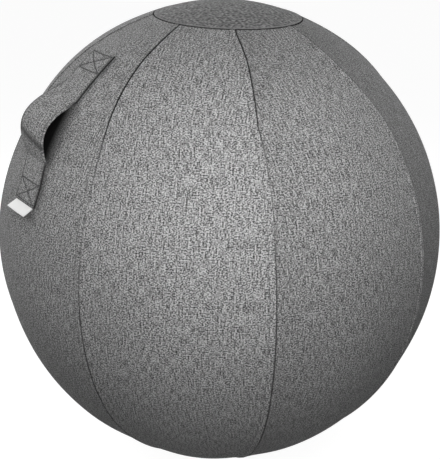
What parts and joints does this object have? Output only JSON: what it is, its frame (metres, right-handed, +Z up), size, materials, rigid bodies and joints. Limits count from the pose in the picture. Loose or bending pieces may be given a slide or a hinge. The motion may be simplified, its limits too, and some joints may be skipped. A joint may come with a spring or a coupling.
{
  "type": "sitting ball",
  "caption": "Inflated sitting ball in a grey melange cloth cover of sewn gores, with round end panels, a side carrying strap, a sewn-in label and a zip in one seam.",
  "frame": {"origin": "middle of the flat patch that the ball rests on", "axes": "+Z up; the carrying strap is on the -X side, and the picture is taken from -X -Y and a little above"},
  "size_m": [0.6351, 0.635, 0.6715],
  "materials": {
    "cover_cloth": "matt woven melange polyester, mid grey",
    "strap_cloth": "the same cloth, doubled and edge-stitched",
    "label_ribbon": "bare white satin ribbon",
    "bladder_skin": "soft grey vinyl",
    "plug_plastic": "white moulded plastic",
    "zip_tape": "black woven tape",
    "zip_plastic": "black moulded plastic",
    "zip_metal": "dark coated zinc"
  },
  "bodies": {
    "cover": {"side_panel_1": "cover_cloth", "side_panel_2": "cover_cloth", "side_panel_3": "cover_cloth", "side_panel_4": "cover_cloth", "side_panel_5": "cover_cloth", "side_panel_6": "cover_cloth", "side_panel_7": "cover_cloth", "side_panel_8": "cover_cloth", "top_panel": "cover_cloth", "base_panel": "cover_cloth", "carry_strap": "strap_cloth", "bladder": "bladder_skin", "valve_plug": "plug_plastic", "zip_tape_left": "zip_tape", "zip_tape_right": "zip_tape", "zip_teeth_left": "zip_plastic", "zip_teeth_right": "zip_plastic", "zip_end_stop": "zip_plastic", "zip_top_stop_left": "zip_plastic", "zip_top_stop_right": "zip_plastic"},
    "zip_slider": {"zip_slider": "zip_metal"},
    "zip_pull": {"zip_pull": "zip_metal"},
    "label": {"sewn_label": "label_ribbon"}
  },
  "joints": [
    {"name": "zip_slider_travel", "type": "hinge", "parent": "cover", "child": "zip_slider", "pos_m": [-0.00696, -0.01681, 0.33244], "axis": [0.9239, -0.3827, 0], "range_deg": [0, 77.2], "deforming": ["zip_teeth_left", "zip_teeth_right"]},
    {"name": "zip_pull_swing", "type": "hinge", "parent": "zip_slider", "child": "zip_pull", "pos_m": [0.08781, 0.21198, 0.09332], "axis": [0.9239, -0.3827, 0], "range_deg": [-35, 125]},
    {"name": "label_flap", "type": "hinge", "parent": "cover", "child": "label", "pos_m": [-0.30379, 0.00703, 0.43473], "axis": [0.0163, 0.9999, -0.005], "range_deg": [-38, 45], "stiffness_Nm_per_rad": 0.002}
  ]
}
